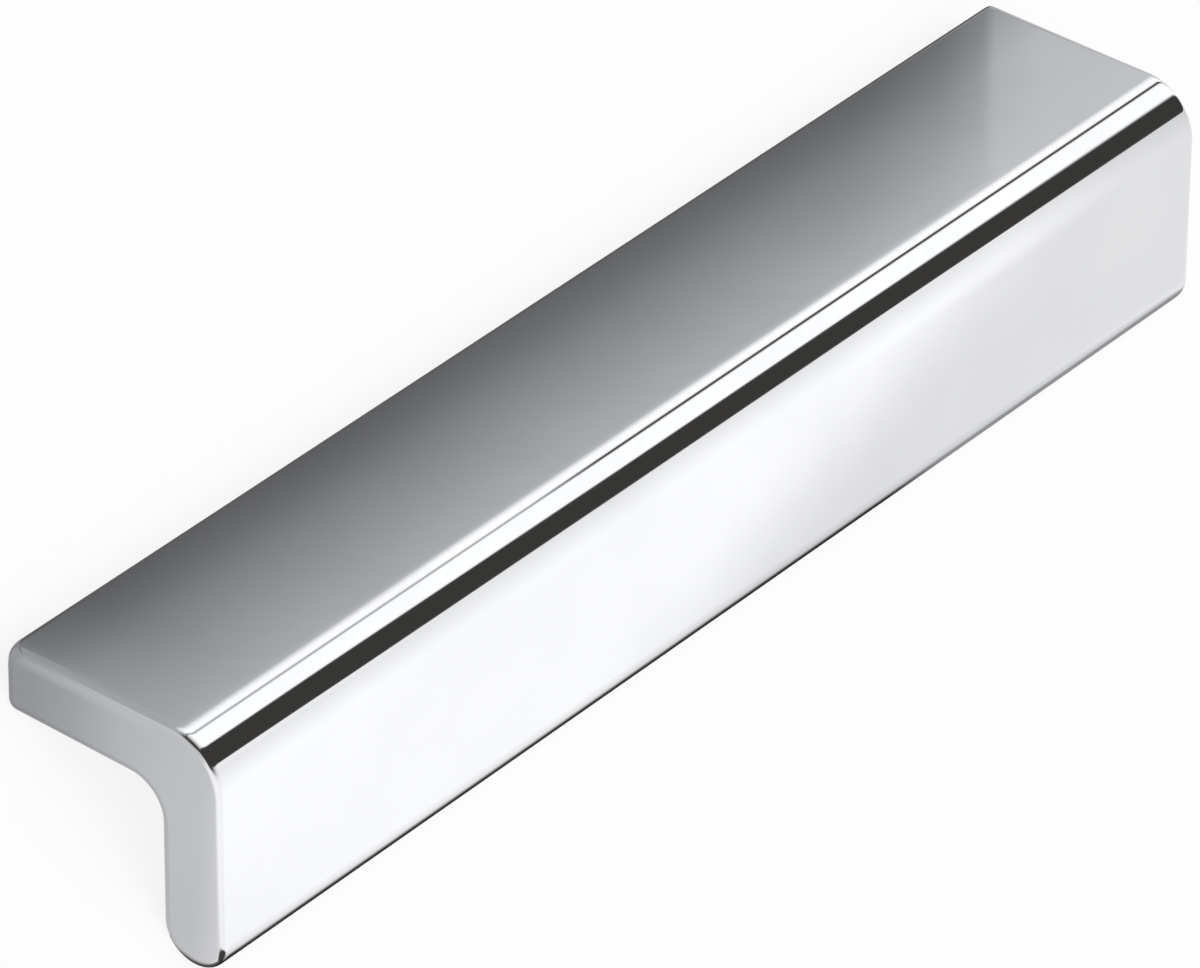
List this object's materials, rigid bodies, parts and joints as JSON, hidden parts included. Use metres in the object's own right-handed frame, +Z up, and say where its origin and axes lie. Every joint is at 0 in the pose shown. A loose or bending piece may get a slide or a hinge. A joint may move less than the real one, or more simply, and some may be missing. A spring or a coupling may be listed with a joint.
{
  "type": "finger pull profile",
  "caption": "Solid L-section finger pull bar: a flange with blind tapped holes in its rear face and a down-turned lip with a rounded nose to hook fingers behind.",
  "frame": {"origin": "middle of the footprint, on the surface that the bar rests on unheld", "axes": "+X along the bar's length; +Z up from the surface it rests on; the lip's outer face looks up and towards -Y, and the flange's rear face, with the screw holes, looks down and towards +Y. As fitted, the bar is turned about X so that the rear face is upright"},
  "size_m": [0.14, 0.0332, 0.0191],
  "materials": {
    "chrome_plate": "polished bright chrome plate on a zinc casting"
  },
  "bodies": {
    "root": {"pull_profile": "chrome_plate"}
  },
  "joints": []
}
